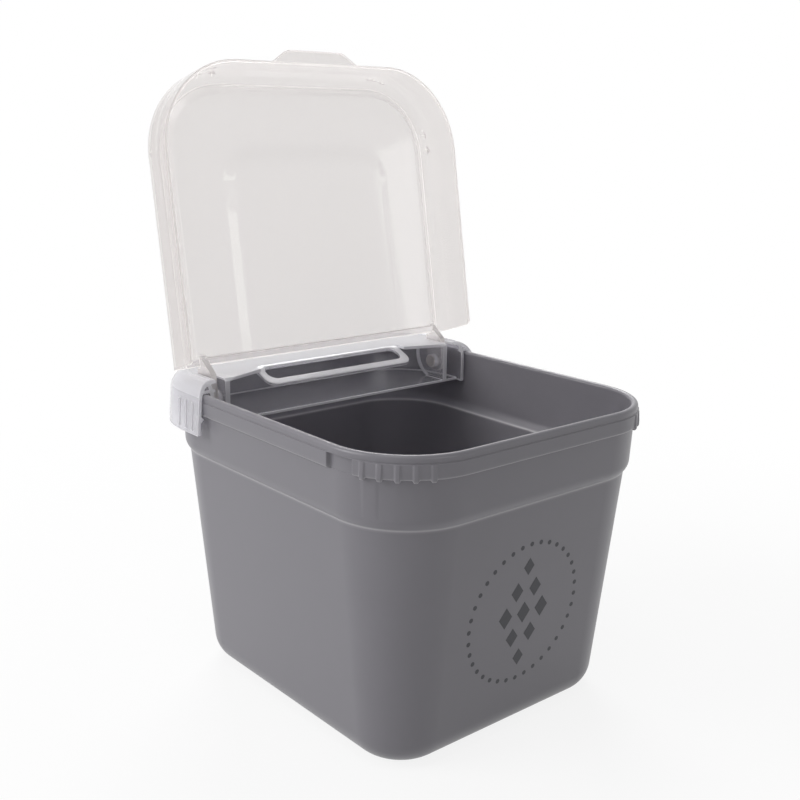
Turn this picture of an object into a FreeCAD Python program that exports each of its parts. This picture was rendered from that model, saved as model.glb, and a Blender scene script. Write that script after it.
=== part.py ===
import FreeCAD, Part
import math
import os
import re
import Sketcher

# Salt box with a flip lid, in millimetres, +Z up. The tub is a drafted polypropylene box with a banded rim.
# A clear bridge snaps over the back of the rim, and a clear lid swings on two pins in its ear plates.
# The origin is the middle of the tub's base. The front is at -Y, the hinge at +Y, and X is the mirror axis.
# The lid is drawn closed and then swung open about the hinge, to where its arms meet their stop.

doc = FreeCAD.newDocument("salt_box")
sizes = doc.addObject("Spreadsheet::Sheet", "sizes")

DRIVING = [
    # Plan of the rim, shared by all three pieces
    ("rim_half_x", "65", "half width over the rim band"),
    ("rim_half_y", "71.9", "half depth over the rim band"),
    ("rim_corner", "30.2", "corner radius of the rim band"),
    # Tub
    ("tub_height", "112", "base to the top of the rolled bead"),
    ("band_depth", "7.5", "bead top to the underside of the rim band"),
    ("band_step", "1.45", "how far the band stands out from the upper wall"),
    ("bead_height", "2.3", "height of the rolled bead"),
    ("bead_inset", "0.4", "bead set back from the band's face"),
    ("bead_groove", "0.4", "fine groove under the bead, height and depth"),
    ("tub_wall", "1.4", "side wall"),
    ("base_wall", "1.8", "floor"),
    ("upper_draft", "2.6", "draft of the wall above the shoulder, degrees"),
    ("lower_draft", "5.5", "draft of the wall below the shoulder, degrees"),
    ("shoulder_drop", "24.8", "bead top to the crease under the shoulder"),
    ("shoulder_step", "1.8", "how far the wall steps in at the shoulder"),
    ("shoulder_round", "5.5", "radius of the shoulder"),
    ("base_round", "11", "radius of the bottom edge"),
    ("rib_radius", "0.8", "grip rib on the front corners"),
    ("rib_proud", "0.4", "grip rib above the band's face"),
    ("rib_drop", "0.6", "grip rib below the band"),
    ("rib_spacing", "10.5", "degrees between grip ribs about the corner"),
    ("notch_lead", "1.6", "rear end of the notch in the band, behind the corner"),
    ("notch_angle", "17.2", "front end of the notch, degrees round the corner"),
    ("lug_angle", "27.5", "lug below the ribs, degrees round the corner"),
    ("lug_width", "7", "width of the lug"),
    ("lug_depth", "13", "band to the lug's lowest point"),
    ("lug_proud", "0.35", "lug above the wall at the band"),
    # Hinge, shared by the bridge and the lid
    ("hinge_set", "28.9", "hinge axis in front of the rim's back face"),
    ("hinge_drop", "4.5", "hinge axis below the bead top"),
    ("pin_radius", "2.5", "hinge pin"),
    ("pin_clearance", "0.05", "radial room round the pin"),
    ("lid_open", "100", "degrees from closed to the stop"),
    ("stop_gap", "0.35", "room between the arms and their stop"),
    ("swing_gap", "0.3", "room between the swinging rear edge of the lid and the bridge"),
    ("skirt_drop", "14.6", "bead top to the lowest edge of the cheeks and of the closed lid"),
    # Bridge
    ("rim_gap", "0.25", "room between the rim and what snaps over it"),
    ("deck_rise", "4.1", "top of the bridge above the bead"),
    ("deck_wall", "1.3", "deck plate"),
    ("cheek_wall", "1.3", "wall outside the rim"),
    ("cheek_draft", "4", "flare of that wall, degrees"),
    ("cheek_round", "7", "radius along the bridge's upper edge"),
    ("cheek_reach", "10.6", "front end of the cheeks, in front of the hinge"),
    ("bridge_back", "2.6", "further room behind the rim, inside the bridge"),
    ("snap_reach", "1.2", "snap bead under the rim band"),
    ("snap_height", "2.4", "height of the snap bead"),
    ("inner_gap", "0.65", "room between the tub's inside and the bridge's inner wall"),
    ("inner_wall", "1.5", "inner wall of the bridge"),
    ("floor_drop", "11.4", "bead top to the floor of the bridge's hollow"),
    ("floor_wall", "1.1", "floor plate"),
    ("floor_reach", "7.5", "front edge of the floor, in front of the hinge"),
    ("ear_inset", "13", "inner face of an ear plate, in from the band's face"),
    ("ear_wall", "2", "ear plate"),
    ("ear_reach", "8", "front edge of the ear plates, in front of the hinge"),
    ("ear_tail", "9.5", "rear edge of the ear plates, behind the hinge"),
    ("ear_round", "10", "rounded lower rear corner of an ear plate"),
    ("tongue_half", "35", "half width of the sloped tongue"),
    ("tongue_reach", "8.2", "front edge of the tongue, in front of the hinge"),
    ("tongue_tail", "3.5", "line where the tongue leaves the deck, behind the hinge"),
    ("tongue_drop", "5", "deck to the tongue's front edge"),
    ("tongue_round", "4.5", "corner radius of the tongue"),
    ("tongue_rail", "2.9", "bar in front of the slot and at its ends"),
    ("slot_depth", "7.2", "slot in the tongue, front to back"),
    ("cheek_rib", "1.4", "width of an upright rib on a cheek"),
    ("cheek_rib_proud", "0.4", "that rib above the cheek's face"),
    ("cheek_rib_pitch", "4.5", "spacing of those ribs"),
    # Lid
    ("lid_wall", "1.2", "panel and land"),
    ("skirt_wall", "1", "skirt"),
    ("lid_gap", "0.5", "room between the rim band and the skirt"),
    ("lid_front_gap", "2", "further room at the front, for the swing"),
    ("skirt_draft", "2", "flare of the skirt, degrees"),
    ("joggle_height", "7.7", "free edge to the step in the skirt"),
    ("joggle_step", "0.35", "that step"),
    ("land_gap", "0.4", "closed land above the bead"),
    ("land_width", "4.2", "seating land, in from the band's face"),
    ("slope_width", "3", "slope from the land down to the panel"),
    ("panel_sink", "2.8", "panel below the land, inside the rim"),
    ("plug_round", "2", "radius of the sunk panel's lower edge"),
    ("lid_round", "2.2", "radius along the lid's upper edge"),
    ("lid_reach", "11.3", "rear edge of the closed panel, in front of the hinge"),
    ("skirt_rake", "2.6", "rear end of the skirt raked forward at its free edge"),
    ("skirt_round", "2.7", "rounded lower rear corner of the skirt"),
    ("rear_bar", "3.3", "stiffening bar along the rear edge"),
    ("rear_bar_depth", "0.8", "that bar below the panel"),
    ("field_half", "34.3", "half width of the sunk field"),
    ("field_margin", "29.5", "front edge of the field, in from the band's face"),
    ("field_depth", "1.5", "depth of the field"),
    ("field_round", "8", "corner radius of the field"),
    ("field_slope", "17", "slope of the field's walls, degrees"),
    ("tab_length", "4.3", "finger tab in front of the skirt"),
    ("tab_half_base", "20", "half width of the tab at the skirt"),
    ("tab_half_tip", "12.8", "half width of the tab at its tip"),
    ("tab_round", "6", "corner radius of the tab's tip"),
    ("tab_wall", "1.3", "finger tab"),
    ("arm_side_gap", "0.6", "room between an arm and its ear plate"),
    ("arm_wall", "2.4", "hinge arm"),
    ("arm_half", "4.5", "half depth of a hinge arm"),
    ("arm_lead", "5", "front end of an arm, in front of the panel's rear edge"),
    ("pin_proud", "0.6", "pin end beyond the ear plate"),
]
# Places that follow from the driving sizes: heights from the bead's top, depths from the rim's back face
PLACES = [
    ("shoulder_height", "=tub_height - shoulder_drop", "crease under the shoulder above the base"),
    ("notch_start", "=notch_lead + rim_corner - rim_half_y", "rear end of the notch, along Y"),
    ("hinge_y", "=rim_half_y - hinge_set", "hinge axis behind the middle"),
    ("hinge_z", "=tub_height - hinge_drop", "hinge axis above the base"),
    ("skirt_bottom", "=tub_height - skirt_drop", "lowest edge of the cheeks and of the closed lid"),
    ("deck_top", "=tub_height + deck_rise", "top of the bridge above the base"),
    ("cheek_front", "=hinge_y - cheek_reach", "front end of the cheeks, along Y"),
    ("floor_top", "=tub_height - floor_drop", "floor of the bridge's hollow above the base"),
    ("floor_front", "=hinge_y - floor_reach", "front edge of that floor, along Y"),
    ("ear_inside", "=rim_half_x - ear_inset", "inner face of an ear plate from the middle"),
    ("ear_front", "=hinge_y - ear_reach", "front edge of the ear plates, along Y"),
    ("ear_rear", "=hinge_y + ear_tail", "rear edge of the ear plates, along Y"),
    ("tongue_front", "=hinge_y - tongue_reach", "front edge of the tongue, along Y"),
    ("tongue_rear", "=hinge_y + tongue_tail", "line where the tongue leaves the deck, along Y"),
    ("lid_rear", "=hinge_y - lid_reach", "rear edge of the closed panel, along Y"),
    ("field_front", "=field_margin - rim_half_y", "front edge of the field, along Y"),
    ("arm_root", "=lid_rear - arm_lead", "front end of an arm on the panel, along Y"),
]
for row, (alias, value, note) in enumerate(DRIVING + PLACES, start=1):
    sizes.set("A%d" % row, alias)
    sizes.set("B%d" % row, value)
    sizes.setAlias("B%d" % row, alias)
    sizes.set("C%d" % row, note)
doc.recompute()

ALIASES = re.compile(r"\b(%s)\b" % "|".join(alias for alias, value, note in DRIVING + PLACES))
OVERLAP = 0.5  # how far one feature runs into the next so that they fuse
GRIP_RIBS = 5
CHEEK_RIBS = 3


def bound(text):
    """The same formula with each name read from the sheet."""
    return ALIASES.sub(r"sizes.\1", text)


def number(text):
    """The formula's value now."""
    return float(sizes.evalExpression(text))


def new_body(label):
    body = doc.addObject("PartDesign::Body", label)
    body.Label = label
    return body


def new_sketch(body, name, role, lift="0"):
    """A sketch on one of the body's own origin planes, raised along that plane's normal."""
    sketch = body.newObject("Sketcher::SketchObject", name)
    plane = [item for item in body.Origin.OriginFeatures if item.Role == role][0]
    sketch.AttachmentSupport = [(plane, "")]
    sketch.MapMode = "FlatFace"
    sketch.setExpression("AttachmentOffset.Base.z", bound(lift))
    return sketch


def hold(sketch, kind, places, formula):
    """One dimension of a sketch, driven by a formula."""
    index = sketch.addConstraint(Sketcher.Constraint(kind, *places, number(formula)))
    sketch.setExpression("Constraints[%d]" % index, bound(formula))


def arc_between(start, end, radius, turn):
    """The short arc from start to end; turn is 1 where it runs anticlockwise and -1 where clockwise."""
    along = end - start
    half = along.Length / 2
    rise = math.sqrt(max(radius * radius - half * half, 0))
    across = FreeCAD.Vector(-along.y, along.x, 0).normalize()
    centre = start + along * 0.5 + across * rise * turn
    first, last = (start, end) if turn > 0 else (end, start)
    angles = [math.atan2(point.y - centre.y, point.x - centre.x) for point in (first, last)]
    if angles[1] < angles[0]:
        angles[1] += 2 * math.pi
    circle = Part.Circle(centre, FreeCAD.Vector(0, 0, 1), radius)
    return Part.ArcOfCircle(circle, angles[0], angles[1])


def draw(sketch, points, arcs=None, closed=True):
    """An outline through points given as pairs of formulas. arcs maps a side's number to (radius, turn)."""
    arcs = arcs or {}
    places = [FreeCAD.Vector(number(across), number(up), 0) for across, up in points]
    count = len(points) if closed else len(points) - 1
    sides = []
    for side in range(count):
        start, end = places[side], places[(side + 1) % len(points)]
        if side in arcs:
            radius, turn = arcs[side]
            geometry = arc_between(start, end, number(radius), turn)
            ends = (1, 2) if turn > 0 else (2, 1)
        else:
            geometry = Part.LineSegment(start, end)
            ends = (1, 2)
        sides.append((sketch.addGeometry(geometry, False), ends))
    for side in range(count if closed else count - 1):
        this, following = sides[side], sides[(side + 1) % count]
        sketch.addConstraint(
            Sketcher.Constraint("Coincident", this[0], this[1][1], following[0], following[1][0]))
    for index, (across, up) in enumerate(points):
        geometry, ends = sides[min(index, count - 1)]
        corner = ends[0] if index < count else ends[1]
        hold(sketch, "DistanceX", (-1, 1, geometry, corner), across)
        hold(sketch, "DistanceY", (-1, 1, geometry, corner), up)
    for side, (radius, turn) in arcs.items():
        hold(sketch, "Radius", (sides[side][0],), radius)


def draw_circle(sketch, across, up, radius):
    centre = FreeCAD.Vector(number(across), number(up), 0)
    circle = sketch.addGeometry(Part.Circle(centre, FreeCAD.Vector(0, 0, 1), number(radius)), False)
    hold(sketch, "DistanceX", (-1, 1, circle, 3), across)
    hold(sketch, "DistanceY", (-1, 1, circle, 3), up)
    hold(sketch, "Radius", (circle,), radius)


def sweep(body, name, profile, path):
    feature = body.newObject("PartDesign::AdditivePipe", name)
    feature.Profile = profile
    feature.Spine = path
    doc.recompute()
    return feature


def extrude(body, kind, name, sketch, length, backwards=False, both=False, taper=None):
    """A pad or a pocket. Its volume is compared, because one that points away from the solid does nothing."""
    before = body.Shape.Volume
    feature = body.newObject("PartDesign::" + kind, name)
    feature.Profile = sketch
    feature.setExpression("Length", bound(length))
    feature.Reversed = backwards
    if both:
        feature.SideType = "Symmetric"
    if taper:
        feature.setExpression("TaperAngle", bound(taper))
    doc.recompute()
    grew = body.Shape.Volume - before
    if grew * (1 if kind == "Pad" else -1) <= 0:
        raise RuntimeError("%s changed nothing" % name)
    return feature


def both_sides(body, kind, name, near, far, points, arcs):
    """A plate between two distances from the middle plane, on the right and on the left."""
    for side, sign in (("right", ""), ("left", "-")):
        sketch = new_sketch(body, "%s_%s_outline" % (name, side), "YZ_Plane", sign + "(" + near + ")")
        draw(sketch, points, arcs)
        extrude(body, kind, "%s_%s" % (name, side), sketch, "(" + far + ") - (" + near + ")", sign == "-")


def rounded_plan(inset, stretch="0"):
    """Corner centre and half sizes of the rim's plan, moved in by inset; stretch lengthens the front."""
    half_x = "(rim_half_x - (%s))" % inset
    half_y = "(rim_half_y + (%s) - (%s))" % (stretch, inset)
    centre_x = "(rim_half_x - rim_corner)"
    centre_y = "(rim_half_y + (%s) - rim_corner)" % stretch
    return half_x, half_y, centre_x, centre_y


def ring_outline(sketch, inset):
    """The whole rounded rectangle, from the middle of its right side, anticlockwise."""
    half_x, half_y, centre_x, centre_y = rounded_plan(inset)
    radius = "rim_corner - (%s)" % inset
    points = [
        (half_x, "0"), (half_x, centre_y), (centre_x, half_y), ("-" + centre_x, half_y),
        ("-" + half_x, centre_y), ("-" + half_x, "-" + centre_y), ("-" + centre_x, "-" + half_y),
        (centre_x, "-" + half_y), (half_x, "-" + centre_y),
    ]
    draw(sketch, points, {side: (radius, 1) for side in (1, 3, 5, 7)})


def end_outline(sketch, inset, end, cut, closed, stretch="0"):
    """One rounded end of the rim's plan. end is 1 at the back and -1 at the front; cut is where it stops."""
    half_x, half_y, centre_x, centre_y = rounded_plan(inset, stretch)
    sign = "" if end > 0 else "-"
    points = [
        (half_x, cut), (half_x, sign + centre_y), (centre_x, sign + half_y),
        ("-" + centre_x, sign + half_y), ("-" + half_x, sign + centre_y), ("-" + half_x, cut),
    ]
    radius = "rim_corner - (%s)" % inset
    draw(sketch, points, {1: (radius, end), 3: (radius, end)}, closed)


def band_outline(sketch, outside, inside, cut):
    """A strip round the back of the rim's plan, between two distances in from the band's face."""
    points = []
    arcs = {}
    for inset, order, turn in ((outside, 1, 1), (inside, -1, -1)):
        half_x, half_y, centre_x, centre_y = rounded_plan(inset)
        side = [
            (half_x, cut), (half_x, centre_y), (centre_x, half_y),
            ("-" + centre_x, half_y), ("-" + half_x, centre_y), ("-" + half_x, cut),
        ]
        radius = "rim_corner - (%s)" % inset
        arcs.update({len(points) + 1: (radius, turn), len(points) + 3: (radius, turn)})
        points += side[::order]
    draw(sketch, points, arcs)


def from_rim(points):
    """Section points given as (distance in from the band's face, height), set out on the right-hand rim."""
    return [("rim_half_x - (%s)" % inset, height) for inset, height in points]


# Heights and insets that several pieces share
band_bottom = "(tub_height - band_depth)"
bead_bottom = "(tub_height - bead_height)"
band_top = "(tub_height - bead_height - bead_groove)"
rim_inside = "(band_step + tub_wall)"
ear_outside = "(ear_inside + ear_wall)"
arm_inside = "(%s + arm_side_gap)" % ear_outside
arm_outside = "(%s + arm_wall)" % arm_inside


def make_tub():
    """A wall section carried once round the rim's plan, with a floor inside it and the corner details."""
    body = new_body("tub")
    rise = "sqrt(2 * shoulder_round * shoulder_step - shoulder_step ^ 2)"
    shoulder_top = "(shoulder_height + %s)" % rise
    upper_in = "(band_step + (%s - %s) * tan(upper_draft))" % (band_bottom, shoulder_top)
    crease_in = "(%s + shoulder_step)" % upper_in
    foot_in = "(%s + shoulder_height * tan(lower_draft))" % crease_in
    base_run = "(base_round * tan(45 - lower_draft / 2))"
    foot_flat = "(%s + %s)" % (foot_in, base_run)
    foot_end = "(%s + tub_wall)" % foot_flat
    inner_round = "(base_round - tub_wall)"
    inner_run = "(%s * tan(45 - lower_draft / 2))" % inner_round
    inner_foot = "(%s - base_wall * tan(lower_draft) + tub_wall)" % foot_in
    bead_radius = "((%s - bead_inset) / 2)" % rim_inside
    bead_spring = "(tub_height - %s)" % bead_radius
    groove_in = "(bead_inset + bead_groove)"

    section = new_sketch(body, "tub_section", "XZ_Plane")
    points = [
        ("0", band_top),
        ("0", band_bottom),
        ("band_step", band_bottom),
        (upper_in, shoulder_top),
        (crease_in, "shoulder_height"),
        (foot_in + " - %s * sin(lower_draft)" % base_run, base_run + " * cos(lower_draft)"),
        (foot_flat, "0"),
        (foot_end, "0"),
        (foot_end, "base_wall"),
        (inner_foot + " + " + inner_run, "base_wall"),
        (inner_foot + " - %s * sin(lower_draft)" % inner_run,
         "base_wall + %s * cos(lower_draft)" % inner_run),
        (crease_in + " + tub_wall", "shoulder_height"),
        (upper_in + " + tub_wall", shoulder_top),
        (rim_inside, band_bottom),
        (rim_inside, bead_spring),
        (rim_inside + " - " + bead_radius, "tub_height"),
        ("bead_inset", bead_spring),
        ("bead_inset", bead_bottom),
        (groove_in, bead_bottom),
        (groove_in, band_top),
    ]
    arcs = {
        3: ("shoulder_round", -1), 5: ("base_round", -1), 9: (inner_round, 1), 11: ("shoulder_round", 1),
        14: (bead_radius, 1), 15: (bead_radius, 1),
    }
    draw(section, from_rim(points), arcs)
    path = new_sketch(body, "tub_path", "XY_Plane")
    ring_outline(path, "0")
    sweep(body, "tub_wall_sweep", section, path)

    floor = new_sketch(body, "tub_floor_outline", "XY_Plane")
    ring_outline(floor, foot_end + " - %s" % OVERLAP)
    extrude(body, "Pad", "tub_floor", floor, "base_wall")

    centre_x, centre_y = rounded_plan("0")[2:]
    ribs = new_sketch(body, "grip_rib_outlines", "XY_Plane", band_bottom + " - rib_drop")
    for sign in ("", "-"):
        for index in range(GRIP_RIBS):
            angle = "(45 + %d * rib_spacing)" % (index - GRIP_RIBS // 2)
            reach = "(rim_corner + rib_proud - rib_radius)"
            across = "%s(%s + %s * cos(%s))" % (sign, centre_x, reach, angle)
            draw_circle(ribs, across, "-(%s + %s * sin(%s))" % (centre_y, reach, angle), "rib_radius")
    extrude(body, "Pad", "grip_ribs", ribs, "%s - %s + rib_drop" % (band_top, band_bottom))

    outer = "(rim_corner + %s)" % OVERLAP
    inner = "(rim_corner - band_step)"
    for side, sign, turn in (("right", "", -1), ("left", "-", 1)):
        notch = new_sketch(body, "notch_%s_outline" % side, "XY_Plane", band_top)
        points = [
            ("%s(%s + %s)" % (sign, centre_x, outer), "notch_start"),
            ("%s(%s + %s)" % (sign, centre_x, inner), "notch_start"),
            ("%s(%s + %s)" % (sign, centre_x, inner), "-" + centre_y),
            ("%s(%s + %s * cos(notch_angle))" % (sign, centre_x, inner),
             "-(%s + %s * sin(notch_angle))" % (centre_y, inner)),
            ("%s(%s + %s * cos(notch_angle))" % (sign, centre_x, outer),
             "-(%s + %s * sin(notch_angle))" % (centre_y, outer)),
            ("%s(%s + %s)" % (sign, centre_x, outer), "-" + centre_y),
        ]
        draw(notch, points, {2: (inner, turn), 4: (outer, -turn)})
        extrude(body, "Pocket", "notch_" + side, notch, "%s - %s" % (band_top, band_bottom))

        # The lug's plane faces out of the corner, so its sketch is turned about Z
        lug = new_sketch(body, "lug_%s_outline" % side, "XZ_Plane")
        reach = "(rim_corner - band_step + lug_proud)"
        about_z = FreeCAD.Rotation(FreeCAD.Vector(0, 1, 0), 1)
        lug.AttachmentOffset = FreeCAD.Placement(FreeCAD.Vector(), about_z)
        lug.setExpression("AttachmentOffset.Base.x", bound(
            "%s(%s + %s * cos(lug_angle))" % (sign, centre_x, reach)))
        lug.setExpression("AttachmentOffset.Base.z", bound("%s + %s * sin(lug_angle)" % (centre_y, reach)))
        lug.setExpression("AttachmentOffset.Rotation.Angle", bound("%s(90 - lug_angle)" % sign))
        half = "(lug_width / 2)"
        points = [
            (half, band_bottom), ("-" + half, band_bottom),
            ("-" + half, "%s - lug_depth + %s" % (band_bottom, half)),
            ("0", "%s - lug_depth" % band_bottom),
            (half, "%s - lug_depth + %s" % (band_bottom, half)),
        ]
        draw(lug, points, {2: (half, 1), 3: (half, 1)})
        extrude(body, "Pad", "lug_" + side, lug, "lug_proud + tub_wall / 2", True)
    return body


# Section of the bridge where it goes over the rim
round_in = "(cheek_round - rim_gap - cheek_wall)"
round_up = "(deck_top - cheek_round)"
inner_cheek_round = "(cheek_round - cheek_wall)"
wall_out = "(%s + inner_gap)" % rim_inside
wall_in = "(%s + inner_wall)" % wall_out
roof = "(deck_top - deck_wall)"
floor_bottom = "(floor_top - floor_wall)"


def cheek_face(height, wall="0"):
    """How far in from the band's face the drafted cheek is at a height; wall is the depth into the cheek."""
    touch = "(%s + (cheek_round - (%s)) * sin(cheek_draft))" % (round_up, wall)
    inset = "(%s - (cheek_round - (%s)) * cos(cheek_draft))" % (round_in, wall)
    return "(%s - (%s - (%s)) * tan(cheek_draft))" % (inset, touch, height)


def cheek_touch(wall="0"):
    """The point where the drafted cheek runs into the rounded upper edge."""
    height = "(%s + (cheek_round - (%s)) * sin(cheek_draft))" % (round_up, wall)
    return cheek_face(height, wall), height


def make_bridge():
    """A wall carried round the outside of the rim, an inner wall, a deck, a floor, a tongue and two ears."""
    body = new_body("hinge_bridge")
    snap_top = "(%s - rim_gap)" % band_bottom
    snap_crest = "(%s - snap_height / 2)" % snap_top
    snap_low = "(%s - snap_height)" % snap_top

    section = new_sketch(body, "bridge_section", "XZ_Plane", "-cheek_front")
    points = [
        (cheek_face("skirt_bottom"), "skirt_bottom"),
        cheek_touch(),
        (round_in, "deck_top"),
        (round_in, roof),
        cheek_touch("cheek_wall"),
        (cheek_face(snap_top, "cheek_wall"), snap_top),
        (cheek_face(snap_crest, "cheek_wall") + " + snap_reach", snap_crest),
        (cheek_face(snap_low, "cheek_wall"), snap_low),
        (cheek_face("skirt_bottom", "cheek_wall"), "skirt_bottom"),
    ]
    draw(section, from_rim(points), {1: ("cheek_round", 1), 3: (inner_cheek_round, -1)})
    path = new_sketch(body, "bridge_path", "XY_Plane")
    end_outline(path, "0", 1, "cheek_front", closed=False, stretch="bridge_back")
    sweep(body, "bridge_sweep", section, path)

    # The deck runs forward to the ears
    deck = new_sketch(body, "deck_outline", "XY_Plane", roof)
    end_outline(deck, round_in + " - %s" % OVERLAP, 1, "ear_front", closed=True, stretch="bridge_back")
    extrude(body, "Pad", "deck", deck, "deck_wall")
    inner = new_sketch(body, "inner_wall_outline", "XY_Plane", floor_bottom)
    band_outline(inner, wall_out, wall_in, "cheek_front")
    extrude(body, "Pad", "inner_wall_pad", inner, "%s + deck_wall / 2 - %s" % (roof, floor_bottom))

    # Webs that close the trough's front ends and sit on the bead
    seat = "(tub_height + rim_gap)"
    seat_in = "(%s - sqrt(cheek_round ^ 2 - (%s - %s) ^ 2))" % (round_in, seat, round_up)
    web_in = "max(%s, %s)" % (wall_in, round_in + " + %s" % OVERLAP)
    for side, sign, turn in (("right", "", 1), ("left", "-", -1)):
        web = new_sketch(body, "web_%s_outline" % side, "XZ_Plane", "-cheek_front")
        points = from_rim([(seat_in, seat), (round_in, "deck_top"), (web_in, "deck_top"), (web_in, seat)])
        draw(web, [(sign + "(" + across + ")", up) for across, up in points], {0: ("cheek_round", turn)})
        extrude(body, "Pad", "web_" + side, web, "cheek_wall", True)

    floor = new_sketch(body, "bridge_floor_outline", "XY_Plane", floor_bottom)
    end_outline(floor, wall_in + " - %s" % OVERLAP, 1, "floor_front", closed=True)
    extrude(body, "Pad", "bridge_floor", floor, "floor_wall")

    # The middle of the deck is cut back beside the tongue
    cutback = new_sketch(body, "deck_cutback_outline", "XY_Plane", "deck_top")
    right = [
        ("ear_inside", "ear_front - %s" % OVERLAP), ("ear_inside", "ear_front"),
        ("tongue_half", "(ear_front + tongue_rear) / 2"), ("tongue_half", "tongue_rear"),
    ]
    draw(cutback, right + [("-" + across, up) for across, up in reversed(right)])
    extrude(body, "Pocket", "deck_cutback", cutback, "deck_wall")

    # Slots for the lid's arms, open at the front and ending at the stop that the open arms meet
    lean = "(lid_open - 90)"
    stop = "(hinge_y + arm_half / cos(%s) + (deck_top - hinge_z) * tan(%s) + stop_gap)" % (lean, lean)
    slots = new_sketch(body, "arm_slot_outlines", "XY_Plane", "deck_top")
    slot_far = "(%s + arm_side_gap)" % arm_outside
    for sign in ("", "-"):
        draw(slots, [
            (sign + ear_outside, "ear_front - %s" % OVERLAP), (sign + slot_far, "ear_front - %s" % OVERLAP),
            (sign + slot_far, stop), (sign + ear_outside, stop),
        ])
    extrude(body, "Pocket", "arm_slots", slots, "deck_wall")

    # Sloped tongue with a long slot, rounded at its front corners
    tongue = new_sketch(body, "tongue_profile", "YZ_Plane")
    lip = "(deck_top - tongue_drop)"
    draw(tongue, [
        ("tongue_rear + %s" % OVERLAP, "deck_top"), ("tongue_rear", "deck_top"), ("tongue_front", lip),
        ("tongue_front", lip + " - deck_wall"), ("tongue_rear", roof), ("tongue_rear + %s" % OVERLAP, roof),
    ])
    extrude(body, "Pad", "tongue", tongue, "2 * tongue_half", both=True)
    rounding = new_sketch(body, "tongue_corner_outlines", "XY_Plane", "deck_top")
    for sign, turn in (("", 1), ("-", -1)):
        corner_in = sign + "(tongue_half - tongue_round)"
        corner_out = sign + "(tongue_half + %s)" % OVERLAP
        draw(rounding, [
            (corner_in, "tongue_front"), (sign + "tongue_half", "tongue_front + tongue_round"),
            (corner_out, "tongue_front + tongue_round"), (corner_out, "tongue_front - %s" % OVERLAP),
            (corner_in, "tongue_front - %s" % OVERLAP),
        ], {0: ("tongue_round", turn)})
    extrude(body, "Pocket", "tongue_corners", rounding, "tongue_drop + 2 * deck_wall")
    slot = new_sketch(body, "tongue_slot_outline", "XY_Plane", "deck_top")
    slot_half = "(tongue_half - tongue_rail)"
    slot_front = "(tongue_front + tongue_rail)"
    slot_rear = "(%s + slot_depth)" % slot_front
    slot_round = "(slot_depth * 0.45)"
    flat_half = "(%s - %s)" % (slot_half, slot_round)
    draw(slot, [
        ("-" + flat_half, slot_front), (flat_half, slot_front),
        (slot_half, slot_front + " + " + slot_round), (slot_half, slot_rear + " - " + slot_round),
        (flat_half, slot_rear), ("-" + flat_half, slot_rear),
        ("-" + slot_half, slot_rear + " - " + slot_round), ("-" + slot_half, slot_front + " + " + slot_round),
    ], {side: (slot_round, 1) for side in (1, 3, 5, 7)})
    extrude(body, "Pocket", "tongue_slot", slot, "tongue_drop + 2 * deck_wall")

    # Ear plates hang from the deck, stand on the floor at the front and carry the hinge holes
    ear_foot = "(floor_top - floor_wall / 2)"
    ear_head = "(deck_top - deck_wall / 2)"
    both_sides(body, "Pad", "ear", "ear_inside", ear_outside, [
        ("ear_front", ear_foot), ("ear_rear - ear_round", ear_foot), ("ear_rear", ear_foot + " + ear_round"),
        ("ear_rear", ear_head), ("ear_front", ear_head),
    ], {1: ("ear_round", 1)})
    hole = new_sketch(body, "hinge_hole_outline", "YZ_Plane")
    draw_circle(hole, "hinge_y", "hinge_z", "pin_radius + pin_clearance")
    extrude(body, "Pocket", "hinge_holes", hole, "2 * (%s + arm_side_gap)" % ear_outside, both=True)

    # The front corners are rounded about the hinge, so that the lid's rear edge swings past them
    swing = "(hinge_y - lid_rear - swing_gap)"
    relief = new_sketch(body, "swing_relief_profile", "YZ_Plane")
    draw(relief, [
        ("hinge_y - " + swing, "hinge_z"), ("hinge_y", "hinge_z + " + swing),
        ("hinge_y", "hinge_z + 2 * " + swing), ("hinge_y - 2 * " + swing, "hinge_z + 2 * " + swing),
        ("hinge_y - 2 * " + swing, "hinge_z"),
    ], {0: (swing, -1)})
    extrude(body, "Pocket", "swing_relief", relief, "4 * rim_half_x", both=True)

    # Upright ribs on the cheeks follow their draft
    rib_low = "(skirt_bottom + cheek_rib)"
    for index in range(CHEEK_RIBS):
        place = "(cheek_front + (%d + 0.9) * cheek_rib_pitch)" % index
        ribs = new_sketch(body, "cheek_rib_%d_outline" % (index + 1), "XZ_Plane", "-" + place)
        for sign in ("", "-"):
            points = from_rim([
                (cheek_face(rib_low) + " + cheek_wall / 2", rib_low),
                (cheek_face(rib_low) + " - cheek_rib_proud", rib_low),
                (cheek_face(round_up) + " - cheek_rib_proud", round_up),
                (cheek_face(round_up) + " + cheek_wall / 2", round_up),
            ])
            draw(ribs, [(sign + "(" + across + ")", up) for across, up in points])
        extrude(body, "Pad", "cheek_rib_%d" % (index + 1), ribs, "cheek_rib", both=True)
    return body


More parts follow.
